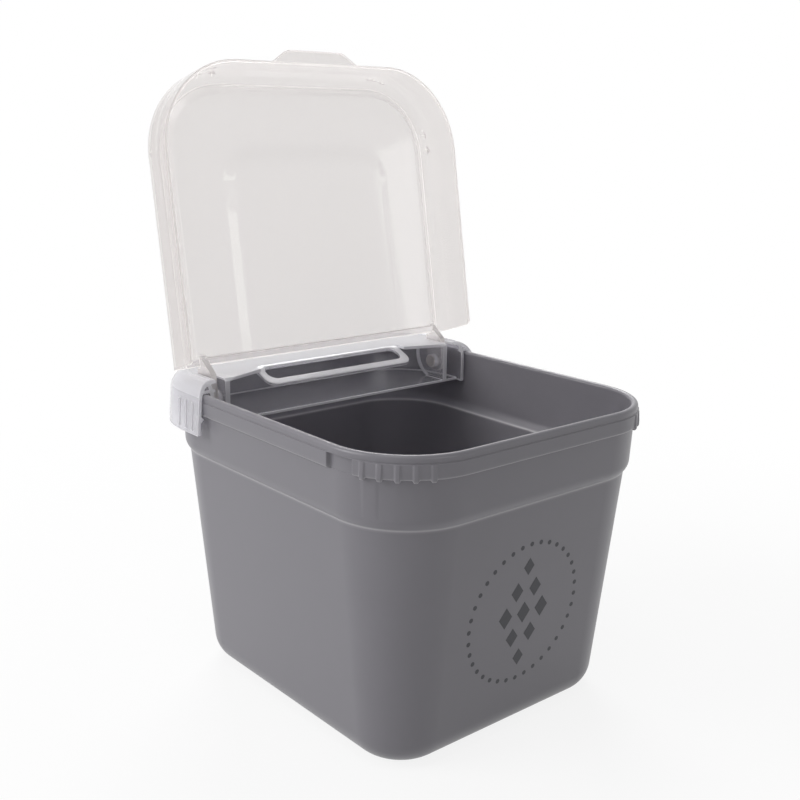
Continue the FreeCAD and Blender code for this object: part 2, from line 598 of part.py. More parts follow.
def make_lid():
    """A skirt, land and slope carried round the front of the rim, with a panel, a tab, arms and pins."""
    body = new_body("flip_lid")
    land = "(tub_height + land_gap)"
    land_top = "(%s + lid_wall)" % land
    panel_top = "(%s - panel_sink)" % land_top
    panel_under = "(%s - panel_sink)" % land
    slope_in = "(land_width + slope_width)"
    fall = "atan(panel_sink / slope_width)"
    under_shift = "(lid_wall * tan(%s / 2))" % fall
    top_round = "(plug_round - lid_wall)"
    under_run = "(plug_round * tan(%s / 2))" % fall
    top_run = "(%s * tan(%s / 2))" % (top_round, fall)
    under_corner = "(%s - %s)" % (slope_in, under_shift)
    sweep_end = "(%s + 2 * land_width)" % slope_in
    joggle_top = "(skirt_bottom + joggle_height)"
    joggle_low = "(%s - 2 * joggle_step)" % joggle_top
    round_low = "(%s - lid_round)" % land_top
    inner_round = "(lid_round - skirt_wall)"
    inner_low = "(%s - %s)" % (land, inner_round)

    def skirt(height, wall, step="0"):
        return "(-lid_gap - (%s) - (%s) - (%s - %s) * tan(skirt_draft))" % (wall, step, land, height)

    section = new_sketch(body, "lid_section", "XZ_Plane", "-lid_rear")
    points = [
        (skirt("skirt_bottom", "skirt_wall", "joggle_step"), "skirt_bottom"),
        (skirt(joggle_low, "skirt_wall", "joggle_step"), joggle_low),
        (skirt(joggle_top, "skirt_wall"), joggle_top),
        ("-lid_gap - skirt_wall", round_low),
        ("-lid_gap - skirt_wall + lid_round", land_top),
        ("land_width", land_top),
        ("%s - %s * cos(%s)" % (slope_in, top_run, fall), "%s + %s * sin(%s)" % (panel_top, top_run, fall)),
        (slope_in + " + " + top_run, panel_top),
        (sweep_end, panel_top),
        (sweep_end, panel_under),
        (under_corner + " + " + under_run, panel_under),
        ("%s - %s * cos(%s)" % (under_corner, under_run, fall),
         "%s + %s * sin(%s)" % (panel_under, under_run, fall)),
        ("land_width - " + under_shift, land),
        ("-lid_gap + " + inner_round, land),
        ("-lid_gap", inner_low),
        (skirt(joggle_top, "0"), joggle_top),
        (skirt(joggle_low, "0", "joggle_step"), joggle_low),
        (skirt("skirt_bottom", "0", "joggle_step"), "skirt_bottom"),
    ]
    rounds = {3: ("lid_round", 1), 6: (top_round, -1), 10: ("plug_round", 1), 13: (inner_round, -1)}
    draw(section, from_rim(points), rounds)
    path = new_sketch(body, "lid_path", "XY_Plane")
    end_outline(path, "0", -1, "lid_rear", closed=False, stretch="lid_front_gap")
    sweep(body, "lid_sweep", section, path)
    panel = new_sketch(body, "panel_outline", "XY_Plane", panel_under)
    end_outline(panel, sweep_end + " - %s" % OVERLAP, -1, "lid_rear", closed=True, stretch="lid_front_gap")
    extrude(body, "Pad", "panel", panel, "lid_wall")

    # The sunk field is a boss under the panel and a pocket in its top, both running out past the rear edge
    past_rear = "(lid_rear + 4 * field_depth / tan(field_slope))"

    def field(name, lift, grow):
        sketch = new_sketch(body, name, "XY_Plane", lift)
        half = "(field_half + %s)" % grow
        front = "(field_front - %s)" % grow
        corner = "(field_round + %s)" % grow
        draw(sketch, [
            (half, past_rear), ("-" + half, past_rear), ("-" + half, front + " + " + corner),
            ("-" + half + " + " + corner, front), (half + " - " + corner, front),
            (half, front + " + " + corner),
        ], {2: (corner, 1), 4: (corner, 1)})
        return sketch

    wall_shift = "(lid_wall * tan(field_slope / 2))"
    boss = field("field_boss_outline", panel_under, "field_depth * tan(90 - field_slope)")
    extrude(body, "Pad", "field_boss", boss, "field_depth", True, taper="field_slope - 90")
    sunk = field("field_pocket_outline", panel_top, "field_depth * tan(90 - field_slope) - " + wall_shift)
    extrude(body, "Pocket", "field_pocket", sunk, "field_depth", taper="field_slope - 90")
    bar = new_sketch(body, "rear_bar_outline", "XY_Plane", panel_under)
    bar_half = "(%s + %s)" % (arm_inside, OVERLAP)
    draw(bar, [(bar_half, "lid_rear - rear_bar"), (bar_half, "lid_rear"), ("-" + bar_half, "lid_rear"),
               ("-" + bar_half, "lid_rear - rear_bar")])
    extrude(body, "Pad", "rear_bar", bar, "field_depth + rear_bar_depth", True)

    # The rear end is trimmed square across the panel and raked on the skirt, with a rounded lower corner
    rake = "atan(skirt_rake / (%s - skirt_bottom))" % land
    run = "(skirt_round * tan((90 deg - %s) / 2))" % rake
    corner_y = "(lid_rear - skirt_rake)"
    beyond = "(%s + skirt_rake)" % past_rear
    above = "(%s + lid_wall)" % panel_top
    below = "(skirt_bottom - lid_wall)"
    trim = new_sketch(body, "rear_trim_profile", "YZ_Plane")
    draw(trim, [
        ("lid_rear", above), ("lid_rear", land),
        (corner_y + " + %s * sin(%s)" % (run, rake), "skirt_bottom + %s * cos(%s)" % (run, rake)),
        (corner_y + " - " + run, "skirt_bottom"), (corner_y + " - " + run, below), (beyond, below),
        (beyond, above),
    ], {2: ("skirt_round", -1)})
    extrude(body, "Pocket", "rear_trim", trim, "4 * rim_half_x", both=True)

    # Finger tab in the plane of the free edge
    front = "(rim_half_y + lid_front_gap - %s)" % skirt("skirt_bottom", "skirt_wall", "joggle_step")
    tab = new_sketch(body, "tab_outline", "XY_Plane", "skirt_bottom")
    base = "(skirt_wall / 2 - %s)" % front
    tip = "(-%s - tab_length)" % front
    lean = "atan((tab_length + skirt_wall / 2) / (tab_half_base - tab_half_tip))"
    bend = "(tab_round * tan(%s / 2))" % lean
    bend_out = "(tab_half_tip + %s * cos(%s))" % (bend, lean)
    bend_up = "(%s + %s * sin(%s))" % (tip, bend, lean)
    draw(tab, [
        ("tab_half_base", base), ("-tab_half_base", base), ("-" + bend_out, bend_up),
        ("%s - tab_half_tip" % bend, tip), ("tab_half_tip - %s" % bend, tip), (bend_out, bend_up),
    ], {2: ("tab_round", 1), 4: ("tab_round", 1)})
    extrude(body, "Pad", "tab", tab, "tab_wall")

    # Hinge arms reach back from the panel, and a pin on each points in through its ear plate
    high = "(hinge_z + arm_half)"
    low = "(hinge_z - arm_half)"
    root = "(%s + lid_wall / 2)" % panel_under
    both_sides(body, "Pad", "arm", arm_inside, arm_outside, [
        ("hinge_y", low), ("hinge_y + arm_half", "hinge_z"), ("hinge_y", high), ("lid_rear", high),
        ("lid_rear", root), ("arm_root", root), ("arm_root + (%s - %s)" % (root, low), low),
    ], {0: ("arm_half", 1), 1: ("arm_half", 1)})
    pin_from = "(ear_inside - pin_proud)"
    for side, sign in (("right", ""), ("left", "-")):
        pin = new_sketch(body, "pin_%s_outline" % side, "YZ_Plane", sign + pin_from)
        draw_circle(pin, "hinge_y", "hinge_z", "pin_radius")
        pin_length = "%s + arm_wall / 2 - %s" % (arm_inside, pin_from)
        extrude(body, "Pad", "pin_" + side, pin, pin_length, sign == "-")

    # Swing the lid open about the hinge
    turn = FreeCAD.Rotation(FreeCAD.Vector(1, 0, 0), -number("lid_open"))
    hinge = FreeCAD.Vector(0, number("hinge_y"), number("hinge_z"))
    body.Placement = FreeCAD.Placement(FreeCAD.Vector(), turn, hinge)
    body.setExpression("Placement.Rotation.Angle", bound("-lid_open"))
    shift_y = "hinge_y - hinge_y * cos(lid_open) - hinge_z * sin(lid_open)"
    shift_z = "hinge_z + hinge_y * sin(lid_open) - hinge_z * cos(lid_open)"
    body.setExpression("Placement.Base.y", bound(shift_y))
    body.setExpression("Placement.Base.z", bound(shift_z))
    return body


pieces = [make_tub(), make_bridge(), make_lid()]
doc.recompute()
failed = [item.Name for item in doc.Objects if {"Invalid", "Error"} & set(item.State)]
for piece in pieces:
    shape = piece.Shape
    if shape.isNull() or not shape.isValid() or len(shape.Solids) != 1:
        failed.append(piece.Label)
    print("%s: %d faces, %.2f cm3" % (piece.Label, len(shape.Faces), shape.Volume / 1000))
if failed:
    raise RuntimeError("not sound: " + ", ".join(failed))
os.makedirs("parts", exist_ok=True)
for piece in pieces:
    piece.Shape.exportStep("parts/%s.step" % piece.Label)
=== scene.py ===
import math

import bpy
import numpy as np
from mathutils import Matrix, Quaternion, Vector
from mathutils.bvhtree import BVHTree


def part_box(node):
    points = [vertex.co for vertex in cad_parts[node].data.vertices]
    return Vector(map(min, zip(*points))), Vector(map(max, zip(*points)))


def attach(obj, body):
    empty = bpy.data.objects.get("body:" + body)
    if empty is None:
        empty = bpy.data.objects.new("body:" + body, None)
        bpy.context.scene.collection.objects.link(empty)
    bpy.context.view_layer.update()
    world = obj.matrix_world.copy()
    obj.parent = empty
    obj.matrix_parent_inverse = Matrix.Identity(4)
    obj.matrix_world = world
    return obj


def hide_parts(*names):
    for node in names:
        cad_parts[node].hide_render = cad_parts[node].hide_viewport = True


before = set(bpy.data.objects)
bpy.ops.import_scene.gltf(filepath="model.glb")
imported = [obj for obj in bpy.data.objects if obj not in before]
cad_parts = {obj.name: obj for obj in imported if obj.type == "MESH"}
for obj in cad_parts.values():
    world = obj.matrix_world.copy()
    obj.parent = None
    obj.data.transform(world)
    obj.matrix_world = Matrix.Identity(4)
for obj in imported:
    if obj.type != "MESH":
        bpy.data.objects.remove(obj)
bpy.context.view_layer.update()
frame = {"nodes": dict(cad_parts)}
mm = 0.001
print("frame loaded:", ", ".join(frame["nodes"]))


# sRGB hex to the linear colour that a socket takes
def linear(hexColour):
    parts = np.array([int(hexColour[at:at + 2], 16) for at in (1, 3, 5)]) / 255
    curve = np.where(parts <= 0.04045, parts / 12.92, ((parts + 0.055) / 1.055) ** 2.4)
    return (*curve.tolist(), 1.0)


# adds one node: settings are its properties, values its sockets, links come from other nodes' outputs
def addNode(tree, kind, settings=None, values=None, links=None):
    node = tree.nodes.new("ShaderNode" + kind)
    for name, setting in (settings or {}).items():
        setattr(node, name, setting)
    for name, value in (values or {}).items():
        node.inputs[name].default_value = value
    for name, socket in (links or {}).items():
        tree.links.new(socket, node.inputs[name])
    return node


# an empty node material, and its tree
def newMaterial(name):
    material = bpy.data.materials.new(name)
    material.use_nodes = True
    material.node_tree.nodes.clear()
    return material, material.node_tree


# 1 where a ray comes from the camera, a reflection or a clear wall, so that all three see the same white
def whiteForTheEye(tree):
    path = addNode(tree, "LightPath")
    gloss = addNode(tree, "Math", {"operation": "MAXIMUM"},
                    links={0: path.outputs["Is Camera Ray"], 1: path.outputs["Is Glossy Ray"]})
    return addNode(tree, "Math", {"operation": "MAXIMUM"},
                   links={0: gloss.outputs[0], 1: path.outputs["Is Transmission Ray"]}).outputs[0]


# camera: place in the part's frame, angles of the view, and the lens as pixels of the square picture
viewOf = {
    "place": (-256.0, -296.6, 208.4), "sensor": 36.0,   # mm
    "azimuth": -40.615, "elevation": 14.489, "roll": 1.057,   # degrees
    "focalPixels": 1102.8, "picturePixels": 800,
}


# looks along (-sin azimuth * cos elevation, cos azimuth * cos elevation, -sin elevation) and rolls about
# that line
def setCamera(size):
    turn, lift = math.radians(size["azimuth"]), math.radians(size["elevation"])
    ahead = Vector((-math.sin(turn) * math.cos(lift), math.cos(turn) * math.cos(lift), -math.sin(lift)))
    data = bpy.data.cameras.new("camera")
    data.sensor_width = size["sensor"]
    data.lens = size["focalPixels"] / size["picturePixels"] * data.sensor_width
    camera = bpy.data.objects.new("camera", data)
    camera.rotation_mode = "QUATERNION"
    level = ahead.to_track_quat("-Z", "Y")
    camera.rotation_quaternion = level @ Quaternion((0, 0, 1), math.radians(size["roll"]))
    camera.location = Vector(size["place"]) * mm
    bpy.context.collection.objects.link(camera)
    bpy.context.scene.camera = camera


setCamera(viewOf)
print("camera set")

# studio: a white sweep, a large soft light from the left, one from behind and a weak one from above. Two more
# in front show only in reflections: a band in the lid's panel, and a line along the left slope of its field
studio = {
    "floorHalf": 30.0, "floorColour": "#f4f4f4", "shadowNear": 0.12, "shadowFar": 0.42, "shadowShare": 0.14,
    "worldColour": "#ffffff", "worldLight": 0.3,
    "lamps": (
        # name, place in m, aim in m, width and height in m, power in W, and whether it lights matte faces
        ("key", (-1.2, 0.55, 0.75), (0.0, 0.0, 0.08), (0.8, 0.8), 11.0, True),
        ("rear", (0.6, 0.9, 1.1), (0.0, 0.0, 0.1), (0.7, 0.7), 10.0, True),
        ("over", (-0.4, -0.2, 1.4), (0.0, 0.03, 0.11), (0.6, 0.6), 3.0, True),
        ("panelStrip", (0.727, -0.678, 0.29), (0.03, 0.05, 0.16), (0.072, 0.31), 0.1, False),
        ("slopeStrip", (0.075, -1.13, 0.44), (-0.03, 0.05, 0.16), (0.55, 0.46), 1.2, False),
    ),
}


# floor and world are white to the eye, and the world lights the object at a plain level; close to the object
# the floor lets a share of its shadow show, which fades out with the distance, in m
def buildStudio(size):
    world = bpy.data.worlds.new("studio")
    world.use_nodes = True
    tree = world.node_tree
    tree.nodes.clear()
    strength = addNode(tree, "MapRange", values={"To Min": size["worldLight"], "To Max": 1.0},
                       links={"Value": whiteForTheEye(tree)})
    light = addNode(tree, "Background", values={"Color": linear(size["worldColour"])},
                    links={"Strength": strength.outputs[0]})
    addNode(tree, "OutputWorld", links={"Surface": light.outputs[0]})
    bpy.context.scene.world = world

    material, tree = newMaterial("white paper sweep")
    matte = addNode(tree, "BsdfDiffuse", values={"Color": linear(size["floorColour"])})
    glow = addNode(tree, "Emission", values={"Color": linear(size["worldColour"]), "Strength": 1.0})
    away = addNode(tree, "VectorMath", {"operation": "LENGTH"},
                   links={0: addNode(tree, "TexCoord").outputs["Object"]})
    fade = addNode(tree, "MapRange", {"interpolation_type": "SMOOTHSTEP"},
                   {"From Min": size["shadowNear"], "From Max": size["shadowFar"],
                    "To Min": 1 - size["shadowShare"], "To Max": 1.0}, {"Value": away.outputs["Value"]})
    share = addNode(tree, "Math", {"operation": "MULTIPLY"},
                    links={0: whiteForTheEye(tree), 1: fade.outputs[0]})
    mixed = addNode(tree, "MixShader", links={0: share.outputs[0], 1: matte.outputs[0], 2: glow.outputs[0]})
    addNode(tree, "OutputMaterial", links={"Surface": mixed.outputs[0]})
    half = size["floorHalf"]
    corners = [(-half, -half, 0), (half, -half, 0), (half, half, 0), (-half, half, 0)]
    mesh = bpy.data.meshes.new("floor")
    mesh.from_pydata(corners, [], [(0, 1, 2, 3)])
    mesh.materials.append(material)
    floor = bpy.data.objects.new("floor", mesh)
    bpy.context.collection.objects.link(floor)

    for name, place, aim, across, power, onMatte in size["lamps"]:
        data = bpy.data.lights.new(name, "AREA")
        data.shape = "RECTANGLE"
        data.size, data.size_y = across
        data.energy = power
        lamp = bpy.data.objects.new(name, data)
        lamp.location = place
        lamp.rotation_mode = "QUATERNION"
        lamp.rotation_quaternion = (Vector(aim) - Vector(place)).to_track_quat("-Z", "Y")
        lamp.visible_diffuse = onMatte
        bpy.context.collection.objects.link(lamp)


buildStudio(studio)
print("studio lit")

# grey polypropylene, injection moulded in a satin mould: broad soft highlights, a faint fine grain, and a
# skin that is a little glossier where the melt cooled faster; paler lines along its fine edges are painted
# highlights
greyFinish = {
    # the third colour is a painted highlight, laid along fine edges and the bead's crest where light catches
    # them
    "colour": "#78767c", "streakColour": "#7c7a80", "highlightColour": "#c4c2c5",
    "roughness": (0.3, 0.4), "ior": 1.49, "streakDetail": 3.0, "grainDetail": 2.0,
    "grain": 0.5, "grainDepth": 0.004, "streak": 14.0,   # mm
}


def greyPolypropylene(size):
    material, tree = newMaterial("satin moulded grey polypropylene")
    place = addNode(tree, "TexCoord").outputs["Object"]
    flow = addNode(tree, "TexNoise", links={"Vector": place},
                   values={"Scale": 1 / (size["streak"] * mm), "Detail": size["streakDetail"]})
    colour = addNode(tree, "Mix", {"data_type": "RGBA"},
                     {6: linear(size["colour"]), 7: linear(size["streakColour"])}, {0: flow.outputs[0]})
    # painted highlight: the stored attribute mixes the paler colour into the grey along edges where light
    # catches them
    paintedHighlight = addNode(tree, "Attribute", {"attribute_name": "paintedHighlight"})
    highlighted = addNode(tree, "Mix", {"data_type": "RGBA"}, {7: linear(size["highlightColour"])},
                   {0: paintedHighlight.outputs["Fac"], 6: colour.outputs[2]})
    shine = addNode(tree, "MapRange", values={"To Min": size["roughness"][0], "To Max": size["roughness"][1]},
                    links={"Value": flow.outputs[0]})
    grain = addNode(tree, "TexNoise", links={"Vector": place},
                    values={"Scale": 1 / (size["grain"] * mm), "Detail": size["grainDetail"]})
    bump = addNode(tree, "Bump", values={"Strength": 1.0, "Distance": size["grainDepth"] * mm},
                   links={"Height": grain.outputs[0]})
    skin = addNode(tree, "BsdfPrincipled", values={"IOR": size["ior"]},
                   links={"Base Color": highlighted.outputs[2], "Roughness": shine.outputs[0],
                          "Normal": bump.outputs[0]})
    addNode(tree, "OutputMaterial", links={"Surface": skin.outputs[0]})
    return material


# natural polypropylene without pigment: milky, part of the light goes straight through and part is scattered
# forwards and back. A thin wall looks nearly clear; an edge, where the eye looks along the wall, shows much
# more milk. A wall's two faces undo each other's bending of light, so the wall bends little and the skin does
# the mirroring. Of through and forward, the first share is without milk and the second with full milk
lidFinish = {
    "colour": "#e8e5e4", "through": (0.84, 0.6), "forward": (0.1, 0.6), "lampThrough": 0.8,
    "gloss": 0.06, "skinIor": 1.49, "wallIor": 1.05,
}
bridgeFinish = {
    "colour": "#ecebef", "through": (0.92, 0.15), "forward": (0.07, 0.25), "lampThrough": 0.25,
    "gloss": 0.1, "skinIor": 1.49, "wallIor": 1.05,
}


def naturalPolypropylene(name, size):
    material, tree = newMaterial(name)
    milk = addNode(tree, "Attribute", {"attribute_name": "milk"}).outputs["Fac"]
    through, share = (addNode(tree, "MapRange", values={"To Min": size[part][0], "To Max": size[part][1]},
                              links={"Value": milk}).outputs[0] for part in ("through", "forward"))
    wall = addNode(tree, "BsdfPrincipled",
                   values={"Base Color": linear(size["colour"]), "Roughness": size["gloss"],
                           "IOR": size["wallIor"], "Coat Weight": 1.0, "Coat Roughness": size["gloss"],
                           "Coat IOR": size["skinIor"]},
                   links={"Transmission Weight": through})
    forward = addNode(tree, "BsdfTranslucent", values={"Color": linear(size["colour"])})
    cloudy = addNode(tree, "MixShader", links={0: share, 1: wall.outputs[0], 2: forward.outputs[0]})
    # a share of the lamps' light passes each face and reaches what lies behind the wall
    lamp = addNode(tree, "Math", {"operation": "MULTIPLY"}, {1: size["lampThrough"]},
                   {0: addNode(tree, "LightPath").outputs["Is Shadow Ray"]})
    gap = addNode(tree, "BsdfTransparent")
    whole = addNode(tree, "MixShader", links={0: lamp.outputs[0], 1: cloudy.outputs[0], 2: gap.outputs[0]})
    addNode(tree, "OutputMaterial", links={"Surface": whole.outputs[0]})
    return material


# screen-printed ink: flat dark grey, a little thinner in places
inkFinish = {
    "colour": "#303036", "thinColour": "#3a3a40", "roughness": 0.5, "ior": 1.5,
    "mottle": 1.4, "mottleDetail": 2.0,   # mm, and octaves
}


def screenInk(size):
    material, tree = newMaterial("screen-printed dark grey ink")
    mottle = addNode(tree, "TexNoise", links={"Vector": addNode(tree, "TexCoord").outputs["Object"]},
                     values={"Scale": 1 / (size["mottle"] * mm), "Detail": size["mottleDetail"]})
    colour = addNode(tree, "Mix", {"data_type": "RGBA"},
                     {6: linear(size["colour"]), 7: linear(size["thinColour"])}, {0: mottle.outputs[0]})
    film = addNode(tree, "BsdfPrincipled", values={"IOR": size["ior"], "Roughness": size["roughness"]},
                   links={"Base Color": colour.outputs[2]})
    addNode(tree, "OutputMaterial", links={"Surface": film.outputs[0]})
    return material


# tub: one wall section carried round the rim's plan, with the band, ribs, notches and lugs worked into it
tubSize = {
    # mm and degrees; the plan's half sizes and the height come from the frame
    "corner": 30.2, "wall": 1.4, "floorWall": 1.8, "baseRound": 11.0, "capInset": 29.0,
    "bandDepth": 7.8, "bandStep": 1.45, "bandTop": 109.3, "bandFoot": 1.6,
    "bandEdge": 0.8, "bandCorner": 0.25, "bandRound": 0.2,
    "grooveIn": 0.34, "grooveTop": 109.7, "grooveRound": (0.12, 0.05), "beadInset": 0.28, "beadRound": 0.04,
    "upperDraft": 2.6, "lowerDraft": 5.5, "shoulderHeight": 87.2, "shoulderStep": 1.8, "shoulderRound": 5.5,
    # extra rings lie so far below the outer and the inner crease, and keep the shading there tight
    "crease": 0.5, "creaseRings": (1.2, 0.6), "insideRings": (0.5, 1.0),
    "ribs": 5, "ribMiddle": 45.0, "ribSpacing": 10.5, "ribHalf": 1.2, "ribEdge": 0.6,
    "ribProud": 0.5, "ribDrop": 0.95, "ribFoot": 1.8, "ribTopGap": 0.1, "ribTopRound": 0.8,
    "notchFrom": -1.6, "notchTo": 9.07, "notchEdge": 0.5,
    "lugAngle": 27.5, "lugHalf": 3.4, "lugDepth": 13.0, "lugProud": 0.22, "lugEdge": 1.6,
    # painted highlights: reach of the pale lines in mm, and their strength at the band's lower edge, the
    # outer and inner crease and the bead's crest
    "highlightReach": 0.45, "highlightBand": 0.6, "highlightCrease": 0.55, "highlightInside": 0.85, "highlightBead": 0.1,
    # fineness of the section: longest step on a run, step and fewest points on a fillet, points of two arcs,
    # and the slack with which heights are compared
    "runStep": 5.0, "arcStep": 0.8, "arcFewest": 4, "beadPoints": 15, "shoulderPoints": 9, "slack": 0.01,
    # fineness along the rim: points on each stretch, and closer ones about the notch's ends and the ribs
    "backPoints": 8, "backCornerPoints": 28, "sidePoints": 24, "cornerPoints": 64, "frontPoints": 10,
    "notchReach": 1.2, "notchGap": 0.15, "ribReach": 1.3, "ribPoints": 15, "leastGap": 0.06,
}


# points of an arc that touches the two straight runs meeting at a corner
def filletPoints(before, corner, after, radius, count):
    before, corner, after = (np.array(point, float) for point in (before, corner, after))
    back = (before - corner) / np.linalg.norm(before - corner)
    on = (after - corner) / np.linalg.norm(after - corner)
    half = np.arccos(np.clip(back @ on, -1, 1)) / 2
    centre = corner + (back + on) / np.linalg.norm(back + on) * radius / np.sin(half)
    first = corner + back * radius / np.tan(half) - centre
    last = corner + on * radius / np.tan(half) - centre
    turn = np.arctan2(first[0] * last[1] - first[1] * last[0], first @ last)
    swing = np.linspace(0, turn, count)[:, None]
    across = np.array([-first[1], first[0]])
    return centre + np.cos(swing) * first + np.sin(swing) * across


# a section given as corners (x, y, fillet radius): straight runs joined by fillets, extra points on long runs
def sectionPoints(corners, size):
    spots = [np.array(corner[:2], float) for corner in corners]
    pieces = [spots[0][None]]
    for at in range(1, len(corners) - 1):
        radius = corners[at][2]
        if radius > 0:
            count = size["arcFewest"] + int(radius / size["arcStep"])
            bend = filletPoints(spots[at - 1], spots[at], spots[at + 1], radius, count)
        else:
            bend = spots[at][None]
        pieces.append(bend)
    pieces.append(spots[-1][None])
    whole = [pieces[0]]
    for piece in pieces[1:]:
        gap = np.linalg.norm(piece[0] - whole[-1][-1])
        count = int(gap / size["runStep"])
        between = np.linspace(whole[-1][-1], piece[0], count + 2)[1:-1]
        whole += [between, piece]
    return np.vstack(whole)


# puts a grid of points, wrapped round in its first direction, into a mesh with an end face at each end
def ringMesh(name, points):
    around, along = points.shape[:2]
    index = np.arange(around * along).reshape(around, along)
    nextRow = np.roll(index, -1, axis=0)
    quads = np.stack([index[:, :-1], nextRow[:, :-1], nextRow[:, 1:], index[:, 1:]], axis=-1).reshape(-1, 4)
    faces = quads.tolist() + [index[::-1, 0].tolist(), index[:, -1].tolist()]
    mesh = bpy.data.meshes.new(name)
    mesh.from_pydata((points.reshape(-1, 3) * mm).tolist(), [], faces)
    mesh.shade_smooth()
    return mesh


# a finished piece: linked, riding on its body, standing for its CAD node
def addPiece(name, mesh, material, body, node=None):
    mesh.materials.append(material)
    piece = bpy.data.objects.new(name, mesh)
    bpy.context.collection.objects.link(piece)
    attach(piece, body)
    if node:
        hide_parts(node)
    return piece


# shading follows the large faces, so that flat walls look flat beside rounded edges
def keepFlat(piece):
    piece.modifiers.new("flat walls stay flat", "WEIGHTED_NORMAL").keep_sharp = True


# rounded rectangle as the edge of its inner rectangle plus the corner radius along a turning normal;
# it runs from the middle of the back over one side to the middle of the front, and mirrored back again.
# w is the way along the rim from where the side meets the front corner, positive towards the front
def rimPath(size, halfX, halfY):
    radius = size["corner"]
    centreX, centreY = halfX - radius, halfY - radius
    quarter = radius * np.pi / 2
    sideBack = -2 * centreY
    back = sideBack - quarter
    dense = [np.arange(end - size["notchReach"], end + size["notchReach"], size["notchGap"])
             for end in (size["notchFrom"], size["notchTo"])]
    ribAngles = size["ribMiddle"] + (np.arange(size["ribs"]) - size["ribs"] // 2) * size["ribSpacing"]
    ribPlaces = np.radians(ribAngles) * radius
    dense += [np.linspace(place - size["ribReach"], place + size["ribReach"], size["ribPoints"])
              for place in ribPlaces]
    coarse = [np.linspace(back - centreX, back, size["backPoints"]),
              np.linspace(back, sideBack, size["backCornerPoints"]),
              np.linspace(sideBack, 0, size["sidePoints"]),
              np.linspace(0, quarter, size["cornerPoints"]),
              np.linspace(quarter, quarter + centreX, size["frontPoints"])]
    # to a thousandth of a millimetre, so that places named twice count once
    w = np.unique(np.round(np.concatenate(dense + coarse), 3))
    w = w[np.concatenate([[True], np.diff(w) > size["leastGap"]])]
    angle = np.where(w < sideBack, np.clip((sideBack - w) / quarter, 0, 1) * -np.pi / 2,
                     np.clip(w / quarter, 0, 1) * np.pi / 2)
    anchorX = np.where(w > quarter, centreX - (w - quarter), centreX)
    anchorX = np.where(w < back, centreX - (back - w), anchorX)
    anchorY = np.clip(-centreY - np.minimum(w, 0), -centreY, centreY)
    anchor = np.stack([anchorX, anchorY], axis=1)
    normal = np.stack([np.cos(angle), -np.sin(angle)], axis=1)
    flip = np.array([-1.0, 1.0])
    # right half walked from front to back, then left half from back to front: anticlockwise from above
    anchor = np.vstack([anchor[::-1], (anchor * flip)[1:-1]])
    normal = np.vstack([normal[::-1], (normal * flip)[1:-1]])
    return anchor, normal, np.concatenate([w[::-1], w[1:-1]]), ribPlaces


# from 0 to 1 with level ends: value squared * (3 - 2 * value)
def smoothStep(value):
    value = np.clip(value, 0, 1)
    return value * value * (3 - 2 * value)


# insets from the band's face and heights at which the wall changes, in mm
def tubLevels(size):
    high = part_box("tub")[1]
    step = size["bandStep"]
    slant = math.tan(math.radians(size["lowerDraft"]))
    bandBottom = high.z / mm - size["bandDepth"]
    bend = math.acos(1 - size["shoulderStep"] / size["shoulderRound"])
    shoulderTop = size["shoulderHeight"] + size["shoulderRound"] * math.sin(bend)
    upperIn = step + (bandBottom - shoulderTop) * math.tan(math.radians(size["upperDraft"]))
    creaseIn = upperIn + size["shoulderStep"]
    return {"halfX": high.x / mm, "halfY": high.y / mm, "top": high.z / mm, "slant": slant, "bend": bend,
            "bandBottom": bandBottom, "shoulderTop": shoulderTop, "upperIn": upperIn, "creaseIn": creaseIn,
            "footIn": creaseIn + size["shoulderHeight"] * slant}


# the wall's section, in points (inset from the band's face, height): out along the base, up the outside, over
# the bead, down the inside and in along the floor; and its points along which a highlight is painted
def tubSection(size, level):
    wall, step, bandBottom = size["wall"], size["bandStep"], level["bandBottom"]
    innerFoot = level["footIn"] - size["floorWall"] * level["slant"] + wall
    rimInside = step + wall
    beadRadius = (rimInside - size["beadInset"]) / 2
    turns = np.linspace(level["bend"], 0, size["shoulderPoints"])
    shoulder = np.stack([level["upperIn"] + size["shoulderRound"] * (1 - np.cos(turns)),
                         level["shoulderTop"] - size["shoulderRound"] * np.sin(turns), 0 * turns], axis=1)
    sweep = np.linspace(0, np.pi, size["beadPoints"])
    bead = np.stack([size["beadInset"] + beadRadius * (1 - np.cos(sweep)),
                     level["top"] - beadRadius + beadRadius * np.sin(sweep), 0 * sweep], axis=1)
    inside = shoulder[::-1] + np.array([wall, 0, 0])
    below = np.array([level["slant"], -1.0, 0])
    creaseRings = [shoulder[0] + below * drop for drop in size["creaseRings"]]
    insideRings = [inside[-1] + below * drop for drop in size["insideRings"]]
    shoulder[0, 2] = size["crease"]
    corners = [(size["capInset"], 0, 0), (level["footIn"], 0, size["baseRound"]), *creaseRings,
               *shoulder.tolist(), (step, bandBottom, size["bandCorner"]), (0, bandBottom, size["bandEdge"]),
               (0, bandBottom + size["bandFoot"], 0), (0, size["bandTop"], size["bandRound"]),
               (size["grooveIn"], size["bandTop"], size["grooveRound"][0]),
               (size["grooveIn"], size["grooveTop"], size["grooveRound"][1]),
               (size["beadInset"], size["grooveTop"], size["beadRound"]), *bead.tolist(),
               (rimInside, bandBottom, 0), *inside.tolist(), *insideRings,
               (innerFoot, size["floorWall"], size["baseRound"] - wall),
               (size["capInset"], size["floorWall"], 0)]
    highlightSpots = {"highlightBand": (0, bandBottom), "highlightCrease": shoulder[0, :2], "highlightInside": inside[-1, :2],
              "highlightBead": bead[size["beadPoints"] // 2, :2]}
    return sectionPoints(corners, size), highlightSpots
